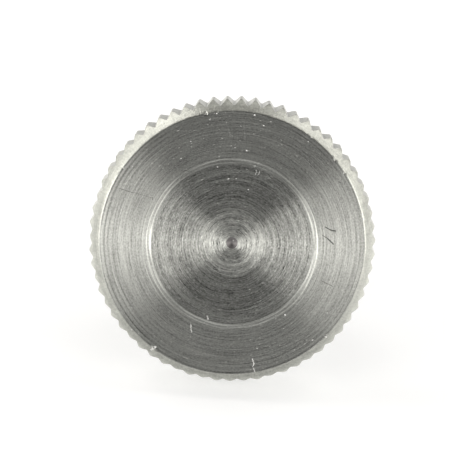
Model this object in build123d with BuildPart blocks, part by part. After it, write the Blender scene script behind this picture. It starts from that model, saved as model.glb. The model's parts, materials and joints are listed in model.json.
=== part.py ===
"""Knurled thumb screw, high type, M5: one turned piece, lying on its knurl and its tip.

The head is a disc with a faced front, a shallow ring groove, a centre mark, a convex bevel,
a band of straight knurling and a chamfered back. Behind it a collar seats on the work, and a
neck, a plain shank at the thread's outside diameter and a chamfered tip follow.

The screw's own coordinates are a radius and a distance behind the front face. Its axis slopes
down from the head to the tip, so that two knurl teeth and the tip touch the ground at Z = 0,
and the origin is the middle of the footprint.
"""

from build123d import *
import math
import os

os.makedirs("parts", exist_ok=True)

# Head disc
head_diameter = 20.0
head_width = 4.0  # front face to back face
bevel_width = 0.84  # how far the front bevel comes in from the rim
bevel_depth = 1.4  # how far it runs back along the rim
bevel_arc_radius = 2.8
back_chamfer = 0.5

# Marks that the lathe left on the front face
ring_diameter = 11.76  # middle of the ring groove
ring_width = 0.55
ring_depth = 0.06
mark_diameter = 0.76
mark_depth = 0.3

# Straight knurling, with grooves of 90 degrees
knurl_pitch = 1.0
knurl_angle = 90.0
tooth_land = 0.10
groove_floor = 0.06

# Collar
collar_diameter = 10.0
collar_length = 7.5
collar_root_fillet = 0.6
collar_chamfer = 0.4

# Thread, M5 x 0.8, as a plain shank, with a neck for its run-out
thread_diameter = 5.0
shank_length = 16.0  # seat to tip
neck_diameter = 3.7
neck_width = 2.1  # its cylinder; a cone of 45 degrees follows it
tip_chamfer = 0.6

# Distances from the axis
head_radius = head_diameter / 2
face_radius = head_radius - bevel_width
collar_radius = collar_diameter / 2
thread_radius = thread_diameter / 2
neck_radius = neck_diameter / 2

# Distances behind the front face
knurl_back = head_width - back_chamfer
seat = head_width + collar_length
neck_end = seat + neck_width
thread_start = neck_end + thread_radius - neck_radius
tip = seat + shank_length
thread_end = tip - tip_chamfer

# Knurling: as many teeth as the pitch fits round the rim
tooth_count = round(math.pi * head_diameter / knurl_pitch)
groove_half_angle = math.pi / tooth_count - tooth_land / head_diameter
groove_corner = head_radius * math.cos(groove_half_angle)
groove_corner_half_width = head_radius * math.sin(groove_half_angle)
flank_slope = math.tan(math.radians(knurl_angle / 2))
groove_bottom = groove_corner - (groove_corner_half_width - groove_floor / 2) / flank_slope
cutter_top = head_radius + tooth_land / 5
cutter_half_width = groove_corner_half_width + (cutter_top - groove_corner) * flank_slope

# Resting attitude: the groove at the bottom has a tooth on each side, and these two teeth
# and the shank's last full circle reach the ground together
slope = math.atan2(groove_corner - thread_radius, thread_end - knurl_back)
axis_height = groove_corner * math.cos(slope) + knurl_back * math.sin(slope)
front_reach = -face_radius * math.sin(slope)
rear_reach = tip * math.cos(slope) + (thread_radius - tip_chamfer) * math.sin(slope)

face_centre = Vector(0, -(front_reach + rear_reach) / 2, axis_height)
toward_tip = Vector(0, math.cos(slope), -math.sin(slope))
across = Vector(1, 0, 0)
screw_axis = Axis(face_centre, toward_tip)
face_plane = Plane(face_centre, x_dir=across, z_dir=toward_tip)  # its +Y points down
profile_plane = Plane(face_centre, x_dir=across, z_dir=across.cross(toward_tip))

with BuildPart() as thumb_screw:
    # Half section of the blank, turned about the axis
    with BuildSketch(profile_plane):
        with BuildLine():
            mark = Line((0, mark_depth), (mark_diameter / 2, 0))
            inner_face = Line(mark @ 1, ((ring_diameter - ring_width) / 2, 0))
            ring = SagittaArc(inner_face @ 1, ((ring_diameter + ring_width) / 2, 0), -ring_depth)
            outer_face = Line(ring @ 1, (face_radius, 0))
            bevel = RadiusArc(outer_face @ 1, (head_radius, bevel_depth), -bevel_arc_radius)
            back = Polyline(
                bevel @ 1,
                (head_radius, knurl_back),
                (head_radius - back_chamfer, head_width),
                (collar_radius + collar_root_fillet, head_width),
            )
            collar_root = RadiusArc(
                back @ 1,
                (collar_radius, head_width + collar_root_fillet),
                collar_root_fillet,
            )
            Polyline(
                collar_root @ 1,
                (collar_radius, seat - collar_chamfer),
                (collar_radius - collar_chamfer, seat),
                (neck_radius, seat),
                (neck_radius, neck_end),
                (thread_radius, thread_start),
                (thread_radius, thread_end),
                (thread_radius - tip_chamfer, tip),
                (0, tip),
                mark @ 0,
            )
        make_face()
    revolve(axis=screw_axis)

    # Knurl grooves, cut along the axis: they run out on the front bevel and the back chamfer
    with BuildSketch(face_plane):
        with PolarLocations(0, tooth_count, start_angle=90):
            Polygon(
                (groove_bottom, -groove_floor / 2),
                (cutter_top, -cutter_half_width),
                (cutter_top, cutter_half_width),
                (groove_bottom, groove_floor / 2),
                align=None,
            )
    extrude(amount=head_width, mode=Mode.SUBTRACT)

thumb_screw.part.label = "thumb_screw"
export_step(thumb_screw.part, "parts/thumb_screw.step")
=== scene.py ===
"""Looks of the knurled thumb screw: one turned steel piece on a plain pale floor.

Values are metres, and the tables of marks say where they are in mm. The screw's own
coordinates are a distance from its axis, an angle about the axis (clockwise from the top, seen
from the front) and a depth behind the front face. The piece is built with its axis along its
own Z, the front face at Z = 0 and the shank towards -Z, and one matrix lays it in the frame.
"""

import json
import math
import random

import bmesh
import bpy
from mathutils import Matrix, Vector


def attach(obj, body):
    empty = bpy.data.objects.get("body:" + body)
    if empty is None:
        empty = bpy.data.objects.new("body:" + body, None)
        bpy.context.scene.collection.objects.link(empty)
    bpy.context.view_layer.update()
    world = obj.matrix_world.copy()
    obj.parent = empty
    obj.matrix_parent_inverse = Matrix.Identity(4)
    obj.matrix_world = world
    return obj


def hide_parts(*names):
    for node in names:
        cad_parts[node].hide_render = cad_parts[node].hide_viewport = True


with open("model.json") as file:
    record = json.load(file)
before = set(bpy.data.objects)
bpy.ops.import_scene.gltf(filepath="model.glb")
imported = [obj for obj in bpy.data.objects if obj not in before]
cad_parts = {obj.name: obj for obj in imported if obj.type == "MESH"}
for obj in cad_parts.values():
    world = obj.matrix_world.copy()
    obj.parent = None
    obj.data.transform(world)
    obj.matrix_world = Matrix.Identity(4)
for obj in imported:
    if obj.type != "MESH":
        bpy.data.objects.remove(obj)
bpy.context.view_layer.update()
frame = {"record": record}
bpy.context.scene.view_settings.view_transform = "Standard"

MM = 0.001
MICRON = 0.001 * MM

# Sizes of the screw, as in the part's source
HEAD_R = 10.0 * MM
FACE_R = 9.16 * MM
HEAD_WIDTH = 4.0 * MM
BEVEL_DEPTH = 1.4 * MM
BEVEL_ARC_R = 2.8 * MM
BACK_CHAMFER = 0.5 * MM
TEETH = 63
TOOTH_LAND = 0.10 * MM
GROOVE_FLOOR = 0.06 * MM
COLLAR_R = 5.0 * MM
COLLAR_LENGTH = 7.5 * MM
COLLAR_ROOT_FILLET = 0.6 * MM
COLLAR_CHAMFER = 0.4 * MM
THREAD_R = 2.5 * MM
NECK_R = 1.85 * MM
NECK_WIDTH = 2.1 * MM
SHANK_LENGTH = 16.0 * MM
TIP_CHAMFER = 0.6 * MM

# Distances behind the front face
SEAT = HEAD_WIDTH + COLLAR_LENGTH
NECK_END = SEAT + NECK_WIDTH
TIP = SEAT + SHANK_LENGTH

# The thread's groove, and the rows of one turn: share of the pitch and radius
THREAD_PITCH = 0.8 * MM
THREAD_ROOT_R = 2.01 * MM
THREAD_FLANK_R = (THREAD_ROOT_R + THREAD_R) / 2
THREAD_CORNER_R = THREAD_R - 0.03 * MM
THREAD_TURN = ((0.0, THREAD_ROOT_R), (0.12, THREAD_ROOT_R), (0.30, THREAD_FLANK_R), (0.5, THREAD_CORNER_R),
               (0.53, THREAD_R), (0.59, THREAD_R), (0.62, THREAD_CORNER_R), (0.82, THREAD_FLANK_R))

# Finishes of the steel, in the order of the piece's material slots
FACED, BEVEL, ROLLED, TURNED, CUT, CENTRE, MARK, INNER = range(8)

# The front face has a finish for its mark, its centre, the disc inside the ring, and the rest.
# It is flat from just outside the mark
FLAT_FROM = 0.48 * MM
CENTRE_R = 2.26 * MM
INNER_R = 5.6 * MM

# Centre mark, a cone with a soft bottom and rim: its place, and radius and depth, in mm
MARK_CENTRE = (-0.01, 0.055)
MARK_PROFILE = ((0.0, 0.189), (0.045, 0.186), (0.09, 0.176), (0.14, 0.158), (0.19, 0.130), (0.285, 0.060),
                (0.318, 0.036), (0.345, 0.018), (0.37, 0.006), (0.40, 0.0))

# Grooves that the facing tool left, one to each turn: their width, depths in micrometres, and
# where they make way for the ring and for the ridges near the edge
FEED = 0.35 * MM
FEED_DEPTHS = (0.6, 2.2)
FEED_SEED = 35
RING_FROM = 5.5 * MM
RING_TO = 6.2 * MM
RIDGES_FROM = 8.3 * MM

# Ring groove, ridges near the edge, and the edge itself: radius in mm and depth in micrometres.
# The ring goes round a centre of its own, x and y in mm
RING_CENTRE = (0.0, -0.05)
RING = ((5.50, 0), (5.58, 1), (5.65, 4), (5.72, 6), (5.82, 6), (5.89, 4), (5.96, 1), (6.04, 0))
EDGE_RIDGES = ((8.30, 0), (8.40, 3), (8.53, 0), (8.67, 3), (8.83, 0), (8.98, 4), (9.08, 0))
EDGE = ((9.06, 0), (9.11, 0), (9.14, 1), (9.16, 9))

# How much lighter the ring is painted, a painted sheen for its reflections, by radius in mm: 0.1 leaves the
# face as it is
RING_PAINTED_SHEEN = ((5.42, 0.10), (5.50, 0.02), (5.57, 0.20), (5.63, 1.0), (5.67, 1.0), (5.73, 0.30), (5.80, 0.30),
              (5.86, 1.0), (5.90, 1.0), (5.96, 0.20), (6.01, 0.0), (6.09, 0.12), (6.16, 0.30), (6.23, 0.15),
              (6.31, 0.06), (6.40, 0.10))

# How rough and how light the face is, by radius in mm: 0.5 is its plain state
FACE_ROUGH = ((0.4, 0.9), (1.4, 0.6), (2.2, 0.5))
FACE_TONE = ((0.45, 0.72), (0.7, 0.72), (0.95, 0.67), (1.17, 0.54), (1.4, 0.62), (2.0, 0.62), (2.25, 0.54),
             (2.27, 0.38), (2.85, 0.31), (3.4, 0.20), (3.85, 0.27), (4.15, 0.21), (4.55, 0.28), (5.05, 0.34),
             (5.4, 0.27), (5.58, 0.33), (5.62, 0.51), (6.22, 0.51), (6.35, 0.44), (6.9, 0.45), (7.35, 0.50),
             (8.1, 0.50), (8.25, 0.48))

# Painted shade and highlights: dark and light lines near the edge and at it, the same way
EDGE_SHADE_AND_HIGHLIGHTS = ((8.12, 0.50), (8.22, 0.26), (8.31, 0.50), (8.40, 0.64), (8.47, 0.50), (8.54, 0.18), (8.61, 0.50),
             (8.68, 0.62), (8.75, 0.50), (8.83, 0.12), (8.91, 0.50))
RIM_SHADE_AND_HIGHLIGHT = ((8.91, 0.50), (8.98, 0.64), (9.03, 0.50), (9.08, 0.22), (9.13, 0.50))

# Knocks on the front edge: angle in degrees, width and depth in mm
KNOCKS = ((345, 0.16, 0.10), (350, 0.10, 0.05), (33, 0.10, 0.05), (47, 0.14, 0.07),
          (54, 0.10, 0.06), (131, 0.12, 0.06), (213, 0.16, 0.09), (301, 0.12, 0.07))

# Teeth that came out low, and by how much in mm
LOW_TEETH = {4: 0.05, 6: 0.08, 25: 0.07, 28: 0.12, 30: 0.08, 31: 0.06, 33: 0.13, 35: 0.11, 39: 0.12,
             42: 0.08, 44: 0.06, 47: 0.09, 50: 0.05}

# How far the crests are worn down and the grooves filled (below 0: cut deeper), in mm, by angle
# in degrees, and by how much one differs from the next
CREST_WEAR = ((0, 0.07), (50, 0.07), (100, 0.06), (125, 0.02), (155, 0.02), (175, 0.06), (245, 0.06),
              (275, 0.04), (300, 0.01), (320, 0.01), (330, 0.06), (360, 0.07))
GROOVE_FILL = ((0, -0.07), (15, -0.05), (50, 0.0), (90, 0.08), (165, 0.09), (175, 0.03), (240, 0.05),
               (265, 0.11), (285, 0.10), (310, 0.04), (345, -0.04), (360, -0.07))
CREST_SPREAD = (0.0, 0.03)
GROOVE_SPREAD = (-0.02, 0.03)
KNURL_SEED = 63

# Nicks on the front face, sunk into its relief, with painted glints in their colour: x, y and width in mm,
# and strength
NICK_GLINTS = ((-2.39, 8.83, 0.13, 1.0), (-1.62, 8.89, 0.11, 0.8), (0.96, 8.97, 0.12, 1.0),
         (1.62, 8.29, 0.1, 1.0), (0.58, 6.50, 0.11, 1.0), (0.87, 3.82, 0.09, 0.7),
         (-0.00, 4.52, 0.08, 0.6), (-0.54, 4.48, 0.1, 0.9), (-1.33, 5.24, 0.1, 0.6),
         (-3.28, 6.85, 0.1, 0.5), (-3.89, 5.65, 0.09, 0.4), (-7.14, 4.88, 0.09, 0.7),
         (4.74, 7.40, 0.08, 0.7), (-4.84, -7.58, 0.16, 1.0), (-6.04, -6.74, 0.1, 0.4),
         (6.88, -4.39, 0.12, 0.5), (5.99, -6.37, 0.12, 0.6), (-0.92, 8.32, 0.08, 0.4),
         (-0.23, 6.63, 0.08, 0.4), (0.07, 8.15, 0.07, 0.4), (3.98, -4.72, 0.11, 1.0),
         (0.10, 0.23, 0.06, 0.6), (4.73, -3.91, 0.08, 0.3), (-4.86, -5.14, 0.08, 0.3))

# A painted glint in the centre mark, and chips on the bevel with painted glints on them, the same way
MARK_GLINT_SPOTS = ((0.085, 0.215, 0.13, 0.45),)
CHIP_GLINTS = ((6.95, -6.09, 0.15, 1.0), (-5.01, -7.72, 0.20, 1.0), (-5.12, -7.84, 0.15, 0.9),
         (-6.54, -6.49, 0.14, 0.5))

# Longer bright marks on the front face, painted glints but for two faint lines of lint: x and y of both ends
# and width in mm, and strength
GLINTS_AND_LINT = ((-2.48, -5.81, -2.39, -6.38, 0.06, 0.35),
          (1.95, -7.94, 2.06, -8.28, 0.05, 0.5), (2.08, -8.28, 2.00, -8.50, 0.05, 0.6),
          (2.06, -8.62, 2.18, -8.86, 0.05, 0.5), (-1.38, -5.16, -1.28, -5.41, 0.06, 0.5),
          (-0.78, 7.97, -0.58, 7.35, 0.05, 0.12), (0.32, 8.04, 0.43, 7.19, 0.05, 0.1),
          (1.29, 4.90, 1.36, 5.10, 0.035, 0.7), (1.50, 4.90, 1.57, 5.12, 0.035, 0.65))

# Dark scratches there, the same way
SCRATCHES = ((6.34, 1.59, 6.67, 1.41, 0.06, 0.85), (6.67, 1.41, 7.04, 1.36, 0.07, 1.0),
             (6.18, 1.00, 6.54, 0.81, 0.05, 0.65), (6.54, 0.81, 6.97, 0.44, 0.07, 0.95),
             (6.34, -2.17, 7.15, -2.50, 0.04, 0.55), (6.94, 4.76, 7.17, 4.74, 0.045, 0.7),
             (7.17, 4.74, 7.19, 4.98, 0.045, 0.7), (-7.95, 3.32, -7.05, 3.10, 0.045, 0.5),
             (-7.05, 3.13, -5.65, 2.81, 0.04, 0.35), (-5.65, 2.84, -5.63, 2.71, 0.06, 0.6))


# ---------------------------------------------------------------- the screw's place in the frame

def screw_place():
    """The matrix that lays the piece, and the point of the front face on the axis."""
    thread = next(m for m in frame["record"]["mounts"] if m["name"] == "thread")
    toward_tip = Vector(thread["axis"]).normalized()
    thread_start = NECK_END + THREAD_R - NECK_R
    thread_middle = (thread_start + TIP - TIP_CHAMFER) / 2
    centre = Vector(thread["pos_m"]) - toward_tip * thread_middle
    across = Vector((1, 0, 0))
    up_face = (-toward_tip).cross(across)
    matrix = Matrix((across, up_face, -toward_tip)).transposed().to_4x4()
    matrix.translation = centre
    return matrix, centre


place, face_centre = screw_place()


# ---------------------------------------------------------------- mesh

class Lathe:
    """Rings of points about the Z axis, joined one to the next. A ring may have a whole
    number of times fewer points than the one before, or as many times more."""

    def __init__(self):
        self.bm = bmesh.new()
        self.ring = None
        self.slot = FACED

    def vertex(self, r, angle, depth):
        return self.bm.verts.new((r * math.sin(angle), r * math.cos(angle), -depth))

    def add(self, count, spot_at):
        """spot_at(angle) gives (radius, depth), or (radius, angle, depth)."""
        new = []
        for k in range(count):
            angle = 2 * math.pi * k / count
            spot = spot_at(angle)
            if len(spot) == 2:
                spot = (spot[0], angle, spot[1])
            new.append(self.vertex(*spot))
        self.join(new)

    def point(self, depth, centre=(0, 0)):
        self.join([self.bm.verts.new((*centre, -depth))])

    def join(self, new):
        old, self.ring = self.ring, new
        if old is None:
            return
        many, few = (old, new) if len(old) >= len(new) else (new, old)
        step = len(many) // len(few)
        if len(few) == 1:
            for i in range(len(many)):
                self.face([few[0], many[(i + 1) % len(many)], many[i]])
            return
        for k in range(len(few)):
            span = [many[(k * step + i) % len(many)] for i in range(step + 1)]
            self.face(span[::-1] + [few[k], few[(k + 1) % len(few)]])

    def face(self, corners):
        face = self.bm.faces.new(corners)
        face.material_index = self.slot
        face.smooth = True


def along(table, x):
    """The value at x in a table of (x, value), straight between its rows and 0 outside."""
    for (x0, v0), (x1, v1) in zip(table, table[1:]):
        if x0 <= x <= x1:
            return v0 + (v1 - v0) * (x - x0) / (x1 - x0)
    return 0.0


def feed_grooves():
    """A depth for each groove that the facing tool left, from the axis outwards."""
    luck = random.Random(FEED_SEED)
    return [luck.uniform(*FEED_DEPTHS) for _ in range(int(FACE_R / FEED) + 2)]


def face_depth(r, angle, grooves):
    """Relief of the front face: feed grooves, ring and edge ridges."""
    turns = r / FEED
    bare = RING_FROM < r < RING_TO or r > RIDGES_FROM
    feed = 0 if bare else grooves[int(turns)] * (1 - math.cos(2 * math.pi * turns)) / 2
    x, y = r / MM * math.sin(angle), r / MM * math.cos(angle)
    from_ring = math.hypot(x - RING_CENTRE[0], y - RING_CENTRE[1])
    return (feed + along(RING, from_ring) + along(EDGE_RIDGES, r / MM)) * MICRON


def mark_spot(r, angle, depth):
    """Radius, angle and depth, about the axis, of a point of a circle about the mark's centre."""
    x = r * math.sin(angle) + MARK_CENTRE[0] * MM
    y = r * math.cos(angle) + MARK_CENTRE[1] * MM
    return math.hypot(x, y), math.atan2(x, y), depth


def knock_depth(r, angle):
    """How far the knocks push the front edge in."""
    total = 0.0
    for degrees, width, depth in KNOCKS:
        gap = (angle - math.radians(degrees) + math.pi) % (2 * math.pi) - math.pi
        off = math.hypot(gap * r, r - FACE_R) / (width * MM)
        if off < 1:
            total += depth * MM * (1 - off * off) ** 2
    return total


def bevel_depth(r):
    """Depth of the front bevel's arc at radius r."""
    chord = Vector((HEAD_R - FACE_R, BEVEL_DEPTH))
    middle = Vector((FACE_R, 0)) + chord / 2
    rise = math.sqrt(BEVEL_ARC_R ** 2 - (chord.length / 2) ** 2)
    inward = Vector((-chord.y, chord.x)).normalized()
    centre = middle + inward * rise
    return centre.y - math.sqrt(max(BEVEL_ARC_R ** 2 - (r - centre.x) ** 2, 0))


class Knurl:
    """Cross-section of the knurl: the radius at an angle, tooth by tooth. A tooth's phase goes
    from the groove before it (-0.5) over its crest (0) to the groove after it (0.5)."""

    # Where a tooth's columns of points stand
    phases = (-0.5, -0.46, -0.42, -0.35, -0.28, -0.20, -0.13, -0.07, -0.03,
              0.0, 0.03, 0.07, 0.13, 0.20, 0.28, 0.35, 0.42, 0.46)
    columns = TEETH * len(phases)

    # How much of a flank the rounding of its two ends takes
    rounding = 0.06

    def __init__(self):
        luck = random.Random(KNURL_SEED)
        self.pitch = 2 * math.pi / TEETH
        half = self.pitch / 2 - TOOTH_LAND / (2 * HEAD_R)
        corner = HEAD_R * math.cos(half)
        self.depth = HEAD_R - (corner - (HEAD_R * math.sin(half) - GROOVE_FLOOR / 2))
        degrees = 360 / TEETH
        self.low = [(luck.uniform(*CREST_SPREAD) + LOW_TEETH.get(k, 0) + along(CREST_WEAR, k * degrees)) * MM
                    for k in range(TEETH)]
        self.fill = [(along(GROOVE_FILL, (k + 0.5) * degrees) + luck.uniform(*GROOVE_SPREAD)) * MM
                     for k in range(TEETH)]

    def column(self, angle):
        """The column nearest to an even angle: its true angle and its radius."""
        k = round(angle / (2 * math.pi) * self.columns) % self.columns
        tooth, j = divmod(k, len(self.phases))
        phase = self.phases[j]
        return (tooth + phase) * self.pitch, self.radius(tooth, phase)

    def radius(self, tooth, phase):
        land = TOOTH_LAND / (HEAD_R * self.pitch)
        floor = GROOVE_FLOOR / (HEAD_R * self.pitch)
        down = min(max((abs(phase) * 2 - land) / (1 - land - floor), 0), 1)
        down += self.rounding * (math.exp(-down / self.rounding) - math.exp((down - 1) / self.rounding)) / 2
        down = min(max(down, 0), 1)
        groove = tooth if phase > 0 else (tooth - 1) % TEETH
        top = HEAD_R - self.low[tooth]
        bottom = HEAD_R - self.depth + self.fill[groove]
        return top + (bottom - top) * down


# Points in a ring: few near the axis and behind the head, more further out on the front face,
# and one to each column of the knurl at the edge
FEW = TEETH * 2
MORE = TEETH * 6
MORE_FROM = 4.6 * MM


def face_radii():
    """Radii of the rings of the front face: close together at the ring groove and the edge."""
    r, last = 0.55 * MM, FACE_R - 0.13 * MM
    close, apart = 0.03 * MM, FEED / 6
    past_ring = 6.4 * MM
    while r < last:
        yield r
        r += close if RING_FROM < r < past_ring or r > RIDGES_FROM else apart


def add_front(lathe):
    """Centre mark, faced front with the tool's marks, and the edge."""
    grooves = feed_grooves()
    lathe.slot = MARK
    lathe.point(MARK_PROFILE[0][1] * MM, (MARK_CENTRE[0] * MM, MARK_CENTRE[1] * MM))
    for r, depth in MARK_PROFILE[1:]:
        lathe.add(FEW, lambda a, r=r, d=depth: mark_spot(r * MM, a, d * MM))
    lathe.slot = CENTRE
    lathe.add(FEW, lambda a: (FLAT_FROM, 0))
    for r in face_radii():
        lathe.slot = CENTRE if r < CENTRE_R else INNER if r < INNER_R else FACED
        lathe.add(FEW if r < MORE_FROM else MORE, lambda a, r=r: (r, face_depth(r, a, grooves)))
    for r, depth in EDGE:
        lathe.add(Knurl.columns, lambda a, r=r * MM, d=depth: (r, d * MICRON + knock_depth(r, a)))


def add_bevel(lathe, knurl):
    """The bevel, whose outer part runs out into the teeth."""
    lathe.slot = BEVEL
    start = FACE_R + 0.015 * MM
    for share in (0, 0.12, 0.25, 0.38, 0.52, 0.66, 0.80, 0.91, 0.97, 1):
        def on_bevel(a, share=share):
            angle, top = knurl.column(a)
            r = start + (top - start) * share
            return r, angle, bevel_depth(r) + knock_depth(r, angle)
        lathe.add(knurl.columns, on_bevel)


def add_knurl(lathe, knurl):
    """The band of teeth, from the bevel to the back chamfer."""
    lathe.slot = ROLLED
    for share in (0.015, 0.25, 0.5, 0.75, 0.985, 1):
        def on_band(a, share=share):
            angle, top = knurl.column(a)
            front = bevel_depth(top)
            back = HEAD_WIDTH - BACK_CHAMFER + HEAD_R - top
            return top, angle, front + (back - front) * share
        lathe.add(knurl.columns, on_band)


def add_back(lathe, knurl):
    """Back chamfer and face of the head, collar and neck, with soft corners."""
    lathe.slot = TURNED
    inner = HEAD_R - BACK_CHAMFER
    soft = 0.02 * MM
    for r, depth in ((inner + soft, HEAD_WIDTH - soft), (inner - soft * 1.5, HEAD_WIDTH)):
        lathe.add(knurl.columns, lambda a, r=r, d=depth: (r, knurl.column(a)[0], d))
    lathe.add(knurl.columns, lambda a: (inner - 0.4 * MM, HEAD_WIDTH))
    for r in (8.0, 7.0, 6.3):
        lathe.add(FEW, lambda a, r=r: (r * MM, HEAD_WIDTH))
    steps = 6
    for i in range(steps + 1):
        turn = math.pi / 2 * i / steps
        fillet = (COLLAR_R + COLLAR_ROOT_FILLET * (1 - math.sin(turn)),
                  HEAD_WIDTH + COLLAR_ROOT_FILLET * (1 - math.cos(turn)))
        lathe.add(FEW, lambda a, spot=fillet: spot)
    soft = 0.04 * MM
    slant = soft * 0.7
    for spot in ((COLLAR_R, 6.5 * MM), (COLLAR_R, 9.0 * MM), (COLLAR_R, SEAT - COLLAR_CHAMFER - soft),
                 (COLLAR_R - slant, SEAT - COLLAR_CHAMFER + slant),
                 (COLLAR_R - COLLAR_CHAMFER + slant, SEAT - slant), (COLLAR_R - COLLAR_CHAMFER - soft, SEAT),
                 (NECK_R + soft * 2, SEAT), (NECK_R, SEAT + soft * 2), (NECK_R, NECK_END - soft)):
        lathe.add(FEW, lambda a, spot=spot: spot)


def blank_radius(depth):
    """The shank before its thread is cut: a cone behind the neck, a cylinder, and the tip's chamfer."""
    cone = NECK_R + depth - NECK_END
    chamfer = THREAD_R - TIP_CHAMFER + TIP - depth
    return min(cone, chamfer, THREAD_R)


def add_thread(lathe):
    """The M5 helix, from the neck to the tip. Its rows follow the helix: before its start they
    share the points of the neck's last ring, and past the tip those of the tip's ring."""
    lathe.slot = CUT
    count = len(lathe.ring)
    angles = [2 * math.pi * k / count for k in range(count)]
    first = lathe.ring
    last = [lathe.vertex(blank_radius(TIP), angle, TIP) for angle in angles]
    turns = math.ceil((TIP - NECK_END) / THREAD_PITCH) + 2
    rows = turns * len(THREAD_TURN)

    def vertex(k, row):
        turn, part = divmod(row, len(THREAD_TURN))
        share, r = THREAD_TURN[part]
        depth = NECK_END + (turn - 1 + share + k / count) * THREAD_PITCH
        if depth <= NECK_END:
            return first[k]
        if depth >= TIP:
            return last[k]
        return lathe.vertex(min(r, blank_radius(depth)), angles[k], depth)

    grid = [[vertex(k, row) for row in range(rows)] for k in range(count)]
    for k in range(count):
        closing = k == count - 1
        right = grid[0] if closing else grid[k + 1]
        offset = len(THREAD_TURN) if closing else 0
        for row in range(rows - 1 - offset):
            corners = (grid[k][row], grid[k][row + 1], right[row + 1 + offset], right[row + offset])
            corners = list(dict.fromkeys(corners))
            if len(corners) >= 3:
                lathe.face(corners)
    lathe.ring = last


def add_tip(lathe):
    lathe.slot = TURNED
    lathe.add(TEETH, lambda a: (1.2 * MM, TIP))
    lathe.point(TIP)


def screw_mesh():
    lathe, knurl = Lathe(), Knurl()
    add_front(lathe)
    add_bevel(lathe, knurl)
    add_knurl(lathe, knurl)
    add_back(lathe, knurl)
    add_thread(lathe)
    add_tip(lathe)
    bmesh.ops.transform(lathe.bm, matrix=place, verts=lathe.bm.verts)
    bmesh.ops.recalc_face_normals(lathe.bm, faces=lathe.bm.faces)
    mesh = bpy.data.meshes.new("knurled_thumb_screw")
    lathe.bm.to_mesh(mesh)
    lathe.bm.free()
    return mesh


# ---------------------------------------------------------------- materials

FACE_COLOUR = (0.388, 0.392, 0.369)
STEEL_COLOUR = (0.50, 0.502, 0.462)
KNURL_COLOUR = (0.64, 0.644, 0.598)
BEVEL_COLOUR = (0.435, 0.439, 0.402)
# The centre mark's dark colour is painted shade for its hollow
MARK_SHADE_COLOUR = (0.178, 0.169, 0.167)
# Pale colour of the painted glints, also used for lint and specks
PAINTED_GLINT_COLOUR = (0.75, 0.75, 0.73, 1)
SCRATCH_COLOUR = (0.10, 0.10, 0.095, 1)


class Finish:
    """A material, and short hand for its nodes."""

    def __init__(self, name):
        self.material = bpy.data.materials.new(name)
        self.material.use_nodes = True
        self.tree = self.material.node_tree
        self.shader = self.tree.nodes["Principled BSDF"]

    def feed(self, socket, value):
        if isinstance(value, bpy.types.NodeSocket):
            self.tree.links.new(value, socket)
        else:
            socket.default_value = value

    def give(self, name, value):
        """Feed a socket of the shader."""
        self.feed(self.shader.inputs[name], value)

    def node(self, kind, *values, **settings):
        node = self.tree.nodes.new("ShaderNode" + kind)
        for name, value in settings.items():
            setattr(node, name, value)
        for socket, value in zip(node.inputs, values):
            self.feed(socket, value)
        return node

    def calculate(self, operation, *values, clamp=False):
        return self.node("Math", *values, operation=operation, use_clamp=clamp).outputs[0]

    def add(self, a, b, clamp=False):
        return self.calculate("ADD", a, b, clamp=clamp)

    def less(self, a, b):
        return self.calculate("SUBTRACT", a, b)

    def times(self, a, b):
        return self.calculate("MULTIPLY", a, b)

    def times_plus(self, a, b, c):
        """a times b, plus c."""
        return self.calculate("MULTIPLY_ADD", a, b, c)

    def either(self, masks):
        """The strongest of the masks."""
        total = masks[0]
        for mask in masks[1:]:
            total = self.calculate("MAXIMUM", total, mask)
        return total

    def sum(self, *pairs):
        """Weighted sum of values, each less 0.5."""
        total = None
        for value, weight in pairs:
            part = self.times_plus(value, weight, -weight / 2)
            total = part if total is None else self.add(total, part)
        return total

    def ease(self, value, from_low, from_high, to_low=0.0, to_high=1.0):
        """Smooth step from one range to another."""
        node = self.node("MapRange", value, from_low, from_high, to_low, to_high,
                         interpolation_type="SMOOTHSTEP")
        return node.outputs[0]

    def ramp(self, value, table):
        """The value of a table of (place, value), straight between its rows and level outside.
        Its values are from 0 to 1."""
        low, high = table[0][0], table[-1][0]
        node = self.node("ValToRGB", self.calculate("DIVIDE", self.less(value, low), high - low))
        stops = node.color_ramp.elements
        for x, level in table[1:-1]:
            stops.new((x - low) / (high - low)).color = (level, level, level, 1)
        for stop, (_, level) in ((stops[0], table[0]), (stops[len(stops) - 1], table[-1])):
            stop.color = (level, level, level, 1)
        return node.outputs[0]

    def blend(self, factor, a, b):
        """From colour a to colour b. A Mix node has sockets for every type: colours use these."""
        node = self.node("Mix", data_type="RGBA")
        for k, value in ((0, factor), (6, a), (7, b)):
            self.feed(node.inputs[k], value)
        return node.outputs[2]

    def vector(self, operation, *values):
        node = self.node("VectorMath", *values, operation=operation)
        return node.outputs["Value" if operation in ("LENGTH", "DISTANCE", "DOT_PRODUCT") else "Vector"]

    def scale(self, vector, factor):
        node = self.node("VectorMath", vector, operation="SCALE")
        self.feed(node.inputs["Scale"], factor)
        return node.outputs[0]


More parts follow.
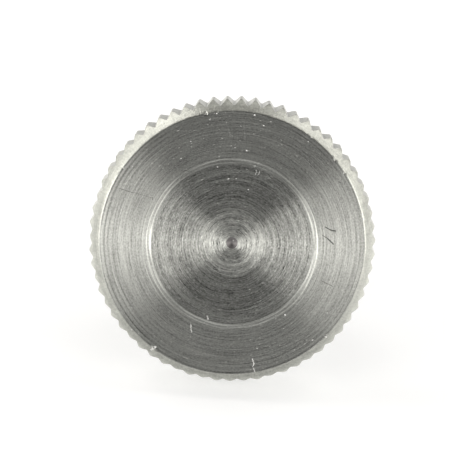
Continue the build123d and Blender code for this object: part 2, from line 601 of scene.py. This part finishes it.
class Steel(Finish):
    """One finish of the screw's steel, in the screw's own coordinates."""

    def __init__(self, name, colour, roughness, anisotropy):
        super().__init__(name)
        self.give("Metallic", 1.0)
        self.give("Anisotropic", anisotropy)
        self.give("Anisotropic Rotation", 0.25)
        self.colour, self.roughness = colour, roughness
        self.find_spot()

    def find_spot(self):
        """The screw's own coordinates at the shaded point, in mm, and the way round its axis."""
        where = self.node("TexCoord").outputs["Object"]
        to_own = place.inverted()
        own = self.node("Mapping", where)
        self.feed(own.inputs["Rotation"], to_own.to_euler())
        self.feed(own.inputs["Location"], to_own.translation)
        parts = self.node("SeparateXYZ", self.scale(own.outputs[0], 1 / MM))
        self.x, self.y = parts.outputs[0], parts.outputs[1]
        self.depth = self.times(parts.outputs[2], -1.0)
        self.flat = self.node("CombineXYZ", self.x, self.y, 0.0).outputs[0]
        self.radius = self.vector("LENGTH", self.flat)
        axis = place.to_3x3() @ Vector((0, 0, 1))
        self.give("Tangent", self.vector("CROSS_PRODUCT", axis, self.vector("SUBTRACT", where, face_centre)))

    def rightness(self):
        """1 to the right of the axis, 0 above and below it, and -1 to its left."""
        return self.calculate("DIVIDE", self.x, self.radius)

    def upness(self):
        """1 above the axis, 0 beside it, and -1 below it."""
        return self.calculate("DIVIDE", self.y, self.radius)

    def turned_run(self):
        """A length that grows along the turned profile, across the tool's marks."""
        return self.times_plus(self.radius, 1.3, self.depth)

    def texture(self, x, y, z, detail):
        spot = self.node("CombineXYZ", x, y, z)
        noise = self.node("TexNoise", spot.outputs[0])
        self.feed(noise.inputs["Scale"], 1.0)
        self.feed(noise.inputs["Detail"], detail)
        return noise.outputs[0]

    def noise(self, run, length, width, detail=2.0, seed=0.0):
        """Noise from 0 to 1 that is `length` mm long in the plane of the face, and `width` mm
        wide along `run`. The two shifts keep the axis off a corner of the noise's cells."""
        x = self.times_plus(self.x, 1 / length, 0.37)
        y = self.times_plus(self.y, 1 / length, 0.41)
        return self.texture(x, y, self.times_plus(run, 1 / width, seed), detail)

    def rays(self, run, width, length):
        """Noise from 0 to 1 that is `width` mm wide round the rim and `length` mm long along `run`."""
        way = self.scale(self.vector("NORMALIZE", self.flat), HEAD_R / MM / width)
        parts = self.node("SeparateXYZ", way)
        return self.texture(parts.outputs[0], parts.outputs[1], self.times(run, 1 / length), 1.0)

    def dots(self, table):
        """The strength of each small round mark of a table, 0 off them."""
        masks = []
        for x, y, width, strength in table:
            off = self.vector("DISTANCE", self.flat, (x, y, 0))
            masks.append(self.ease(off, width * 0.25, width * 0.6, strength, 0.0))
        return self.either(masks)

    def strokes(self, table):
        """The strength of each straight mark of a table, 0 off them."""
        masks = []
        for x0, y0, x1, y1, width, strength in table:
            start, arm = Vector((x0, y0, 0)), Vector((x1 - x0, y1 - y0, 0))
            unit = arm / arm.length_squared
            share = self.add(self.vector("DOT_PRODUCT", self.flat, unit), -start.dot(unit), clamp=True)
            off = self.vector("DISTANCE", self.flat, self.vector("MULTIPLY_ADD", share, arm, start))
            masks.append(self.ease(off, width * 0.25, width * 0.75, strength, 0.0))
        return self.either(masks)

    def dress(self, height, height_size, shade, rough):
        """Height, in mm times height_size, bumps the surface; shade, about 0, lightens and
        darkens its colour; rough, about 0, is added to its roughness. Gives the colour."""
        bump = self.node("Bump")
        self.feed(bump.inputs["Distance"], height_size * MM)
        self.feed(bump.inputs["Height"], height)
        self.give("Normal", bump.outputs[0])
        colour = self.scale(self.colour, self.add(shade, 1.0))
        self.give("Base Color", colour)
        self.give("Roughness", self.add(rough, self.roughness, clamp=True))
        return colour

    def paint_glints(self, colour, nick_glints):
        """Bright marks over a colour, lighter and less of a mirror: mostly painted glints."""
        self.give("Base Color", self.blend(nick_glints, colour, PAINTED_GLINT_COLOUR))
        self.give("Metallic", self.times_plus(nick_glints, -0.8, 1.0))


def painted_edge_lines(steel):
    """Painted shade and highlights: dark and light lines near the edge of the face and at it. They are
    stronger at the sides, where the side lamps' light falls across them, and those near the edge on the left."""
    near = steel.sum((steel.ramp(steel.radius, EDGE_SHADE_AND_HIGHLIGHTS), 1.0))
    at_rim = steel.sum((steel.ramp(steel.radius, RIM_SHADE_AND_HIGHLIGHT), 1.0))
    left = steel.ease(steel.x, -3.0, 5.0, 1.0, 0.35)
    lit_sides = steel.ease(steel.calculate("ABSOLUTE", steel.rightness()), 0.3, 0.8, 0.2, 1.0)
    return steel.times(steel.times_plus(near, left, at_rim), lit_sides)


def painted_ring_sheen(steel, arcs):
    """The light lines of the ring, a painted sheen for its reflections, broken by the arcs, and weaker at the
    top, where less light falls.
    """
    lines = steel.ramp(steel.vector("DISTANCE", steel.flat, (*RING_CENTRE, 0)), RING_PAINTED_SHEEN)
    lines = steel.times(steel.times_plus(lines, 0.75, -0.075), steel.times_plus(arcs, 2.6, -0.3))
    return steel.times(lines, steel.ease(steel.y, 1.0, 4.5, 1.0, 0.68))


def faced_steel(name, roughness, anisotropy):
    """The front face: long fine marks round the axis, shorter arcs and grain over them, a coarser and rougher
    centre, a ring lightened by painted sheen, nicks with painted glints, scratches, and painted shade and
    highlights near the edge."""
    steel = Steel(name, FACE_COLOUR, roughness, anisotropy)
    centre = steel.ease(steel.radius, 1.4, 3.0, 1.0, 0.0)
    inside = steel.ease(steel.radius, 5.3, 5.6, 1.0, 0.0)

    def by_zone(plain, more_at_centre, more_inside):
        """A weight that is greater at the centre and inside the ring."""
        return steel.times_plus(inside, more_inside, steel.times_plus(centre, more_at_centre, plain))

    run = steel.turned_run()
    hairs = steel.noise(run, 12.0, 0.075, 0.0)
    lines = steel.noise(run, 12.0, 0.15, 0.0, 7.3)
    bands = steel.noise(run, 5.0, 0.30, 0.0, 2.2)
    arcs = steel.noise(run, 2.0, 0.09, 0.0, 3.7)
    flecks = steel.ease(steel.noise(run, 0.28, 0.10, 1.0, 11.1), 0.58, 0.70)
    pits = steel.ease(steel.noise(run, 0.35, 0.10, 1.0, 15.5), 0.58, 0.70)
    clouds = steel.noise(run, 0.40, 0.30, 1.0, 9.4)
    grain = steel.noise(run, 0.13, 0.13, 0.0, 5.2)
    specks = steel.ease(grain, 0.815, 0.885, 0.0, 0.45)
    # Nicks, glints and random specks: sunk into the relief, with painted glints in the colour.
    nick_glints = steel.either([steel.dots(NICK_GLINTS), steel.strokes(GLINTS_AND_LINT), specks])
    scratches = steel.strokes(SCRATCHES)

    bumps = steel.times(steel.sum((grain, 0.5), (flecks, 0.12)), by_zone(0.2, 0.0, 0.6))
    height = steel.add(steel.sum((hairs, 0.2), (lines, 0.15), (arcs, 0.25)), bumps)
    height = steel.less(height, steel.either([nick_glints, scratches]))

    fine = steel.times(steel.sum((hairs, 0.36), (lines, 0.24), (arcs, 0.55)), by_zone(1.0, 0.5, 0.1))
    coarse = steel.times(steel.sum((bands, 0.3)), by_zone(0.0, 1.6, 1.0))
    blotches = steel.times_plus(flecks, 0.7, steel.times_plus(pits, -0.5, steel.sum((clouds, 1.0))))
    blotches = steel.times(blotches, by_zone(0.15, 0.5, 0.3))
    shade = steel.sum((grain, 0.6), (steel.ramp(steel.radius, FACE_TONE), 1.0))
    # The ring's sheen and the lines near the edge are painted light and shade.
    for layer in (fine, coarse, blotches, painted_ring_sheen(steel, arcs), painted_edge_lines(steel)):
        shade = steel.add(shade, layer)

    rough = steel.sum((lines, 0.04), (steel.ramp(steel.radius, FACE_ROUGH), 0.1))
    colour = steel.dress(height, 0.022, shade, rough)
    # Dark scratches in the colour, with painted glints over it.
    steel.paint_glints(steel.blend(scratches, colour, SCRATCH_COLOUR), nick_glints)
    return steel.material


def bevel_steel():
    """The bevel: fine marks round the axis, marks of the knurling tool across it, grain, and chips with
    painted glints. Painted light and shade make it lighter at the sides and, off the top, towards its back,
    and darker below."""
    steel = Steel("bevel_steel", BEVEL_COLOUR, 0.42, 0.4)
    run = steel.turned_run()
    fine = steel.noise(run, 14.0, 0.10, 1.0)
    across = steel.rays(run, 0.09, 1.2)
    grain = steel.noise(run, 0.14, 0.16, 1.0, 5.0)
    patches = steel.noise(run, 0.6, 0.6, 1.0, 2.0)
    # Chips sink into the relief and carry painted glints.
    chips = steel.dots(CHIP_GLINTS)
    # Painted light and shade: lighter towards the back except at the top, darker below, lighter at the sides.
    off_top = steel.ease(steel.upness(), 0.88, 0.97, 1.0, 0.0)
    back = steel.times(off_top, steel.ease(steel.depth, 0.2, 1.0, 0.0, 0.40))
    painted_shade_below = steel.ease(steel.upness(), -0.85, -0.5, -0.16, 0.0)
    right = steel.ease(steel.rightness(), 0.75, 0.95, 0.0, 0.16)
    left = steel.ease(steel.rightness(), -0.95, -0.75, 0.06, 0.0)
    height = steel.less(steel.sum((fine, 0.3), (across, 0.5), (grain, 0.5)), chips)
    shade = steel.sum((fine, 0.3), (across, 0.35), (grain, 0.6), (patches, 0.5))
    for layer in (back, painted_shade_below, right, left):
        shade = steel.add(shade, layer)
    steel.paint_glints(steel.dress(height, 0.02, shade, steel.sum((patches, 0.1))), chips)
    return steel.material


def turned_steel(name, roughness, anisotropy, height_size, colour=STEEL_COLOUR, glint_spots=()):
    """Turned surfaces: fine marks round the axis, shorter streaks and grain, and bright spots that are
    painted glints.
    """
    steel = Steel(name, colour, roughness, anisotropy)
    run = steel.turned_run()
    fine = steel.noise(run, 14.0, 0.07, 2.0)
    streaks = steel.noise(run, 1.2, 0.06, 1.0, 3.0)
    grain = steel.noise(run, 0.12, 0.12, 1.0, 5.0)
    bands = steel.noise(run, 9.0, 0.9, 1.0, 3.0)
    height = steel.sum((fine, 0.4), (streaks, 0.4), (grain, 0.15))
    shade = steel.sum((fine, 0.3), (streaks, 0.3), (grain, 0.4))
    shown = steel.dress(height, height_size, shade, steel.sum((bands, 0.15)))
    if glint_spots:
        steel.paint_glints(shown, steel.dots(glint_spots))
    return steel.material


def rolled_steel():
    """Knurl flanks: fine lines along the axis, darker towards the groove floors and lighter at the crests."""
    steel = Steel("rolled_steel", KNURL_COLOUR, 0.36, 0.0)
    lines = steel.rays(steel.depth, 0.07, 2.5)
    grain = steel.noise(steel.depth, 0.3, 0.3, 1.0, 4.0)
    height = steel.sum((lines, 0.6), (grain, 0.3))
    depth_tone = steel.ease(steel.radius, HEAD_R / MM - 0.5, HEAD_R / MM - 0.2, -0.15, 0.08)
    shade = steel.add(steel.sum((grain, 0.35), (lines, 0.3)), depth_tone)
    steel.dress(height, 0.004, shade, steel.sum((grain, 0.15)))
    return steel.material


def cut_steel():
    """Thread flanks: lines along the helix, darker towards the root."""
    steel = Steel("cut_steel", STEEL_COLOUR, 0.34, 0.3)
    run = steel.turned_run()
    lines = steel.noise(run, 1.5, 0.08, 2.0)
    grain = steel.noise(run, 0.15, 0.15, 2.0, 4.0)
    height = steel.sum((lines, 0.6), (grain, 0.4))
    depth_tone = steel.ease(steel.radius, THREAD_ROOT_R / MM, THREAD_R / MM, -0.35, 0.05)
    shade = steel.add(steel.sum((grain, 0.4), (lines, 0.4)), depth_tone)
    steel.dress(height, 0.025, shade, steel.sum((grain, 0.3)))
    return steel.material


# ---------------------------------------------------------------- floor, lamps, camera

# The floor's size and grey, how much lighter the camera and mirrors see it, and the sky's grey
FLOOR_SIZE = 3.0
FLOOR_COLOUR = 0.52
FLOOR_LIFT = 0.50
WORLD_LEVEL = 0.02

# Softboxes round the head: azimuth in degrees from -Y towards +X, elevation in degrees above
# the floor, width and height in metres, radiance
LAMP_DISTANCE = 0.5
LAMP_COLOUR = (1.0, 0.985, 0.96)
LAMPS = (("right", 57, 17, 0.28, 0.30, 5.8), ("left", -54, 17, 0.28, 0.30, 5.4),
         ("right_low", 25, 4, 0.20, 0.14, 1.5), ("left_low", -28, 4, 0.20, 0.14, 4.4),
         ("right_side", 105, 28, 0.32, 0.34, 2.0), ("left_side", -95, 24, 0.30, 0.34, 2.6),
         ("right_high", 115, 58, 0.24, 0.20, 2.6), ("left_high", -115, 52, 0.24, 0.20, 3.8),
         ("back_right", 140, 40, 0.30, 0.34, 1.2), ("back_left", -140, 30, 0.34, 0.36, 1.2),
         ("back_top", 180, 46, 0.16, 0.20, 1.7), ("overhead", 0, 88, 0.30, 0.30, 0.55))

# The camera: degrees above square to the face, roll in degrees, distance from the face, lens in
# mm, and how far to the right of the face's middle and above it the camera aims
CAMERA_RISE = 8.8
CAMERA_ROLL = 3.8
CAMERA_DISTANCE = 150 * MM
CAMERA_LENS = 173.6
AIM_RIGHT = -0.41 * MM
AIM_UP = 1.22 * MM


def add_floor():
    """A white floor that keeps its shadow: the camera and mirrors see it lifted."""
    bpy.ops.mesh.primitive_plane_add(size=FLOOR_SIZE, location=(0, 0, 0))
    floor = bpy.context.object
    floor.name = "floor"
    white = Finish("floor_white")
    white.give("Base Color", (FLOOR_COLOUR, FLOOR_COLOUR, FLOOR_COLOUR, 1))
    white.give("Roughness", 0.9)
    white.give("Emission Color", (1, 1, 1, 1))
    path = white.node("LightPath")
    kinds = ("Is Camera Ray", "Is Glossy Ray", "Is Transmission Ray")
    seen = white.either([path.outputs[kind] for kind in kinds])
    white.give("Emission Strength", white.times(seen, FLOOR_LIFT))
    floor.data.materials.append(white.material)


def softbox(name, azimuth, elevation, width, height, radiance):
    """A soft rectangular lamp that faces the head."""
    az, el = math.radians(azimuth), math.radians(elevation)
    way = Vector((math.sin(az) * math.cos(el), -math.cos(az) * math.cos(el), math.sin(el)))
    data = bpy.data.lights.new(name, "AREA")
    data.shape = "RECTANGLE"
    data.size = width
    data.size_y = height
    data.color = LAMP_COLOUR
    data.energy = radiance * math.pi * width * height
    lamp = bpy.data.objects.new(name, data)
    bpy.context.scene.collection.objects.link(lamp)
    lamp.location = face_centre + way * LAMP_DISTANCE
    lamp.rotation_euler = way.to_track_quat("Z", "Y").to_euler()
    lamp.visible_camera = False


def add_world(level):
    world = bpy.data.worlds.new("studio")
    bpy.context.scene.world = world
    world.use_nodes = True
    world.node_tree.nodes["Background"].inputs["Color"].default_value = (level, level, level, 1)


def add_camera():
    """Almost square to the front face, a little above it, and rolled by a few degrees."""
    forward = place.to_3x3() @ Vector((0, 0, 1))
    elevation = math.asin(forward.z) + math.radians(CAMERA_RISE)
    back = Vector((0, -math.cos(elevation), math.sin(elevation)))
    right = Matrix.Rotation(math.radians(CAMERA_ROLL), 3, back) @ Vector((1, 0, 0))
    up = back.cross(right)
    location = face_centre + back * CAMERA_DISTANCE
    aim = face_centre + right * AIM_RIGHT + up * AIM_UP
    back = (location - aim).normalized()
    right = up.cross(back).normalized()
    up = back.cross(right)
    data = bpy.data.cameras.new("camera")
    data.sensor_width = 36
    data.lens = CAMERA_LENS
    data.clip_start = 0.005
    data.clip_end = 20
    camera = bpy.data.objects.new("camera", data)
    bpy.context.scene.collection.objects.link(camera)
    camera.matrix_world = Matrix.Translation(location) @ Matrix((right, up, back)).transposed().to_4x4()
    bpy.context.scene.camera = camera


# ---------------------------------------------------------------- the scene

screw = bpy.data.objects.new("knurled_thumb_screw", screw_mesh())
bpy.context.scene.collection.objects.link(screw)
finishes = {
    FACED: faced_steel("faced_steel", 0.37, 0.94),
    BEVEL: bevel_steel(),
    ROLLED: rolled_steel(),
    TURNED: turned_steel("turned_steel", 0.33, 0.8, 0.03),
    CUT: cut_steel(),
    CENTRE: faced_steel("centre_steel", 0.38, 0.86),
    # The centre mark: painted shade in its colour, and a painted glint.
    MARK: turned_steel("mark_steel", 0.56, 0.0, 0.02, MARK_SHADE_COLOUR, MARK_GLINT_SPOTS),
    INNER: faced_steel("inner_steel", 0.36, 1.0),
}
for slot in sorted(finishes):
    screw.data.materials.append(finishes[slot])
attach(screw, "root")
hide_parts("thumb_screw")

add_floor()
add_world(WORLD_LEVEL)
for lamp in LAMPS:
    softbox(*lamp)
add_camera()
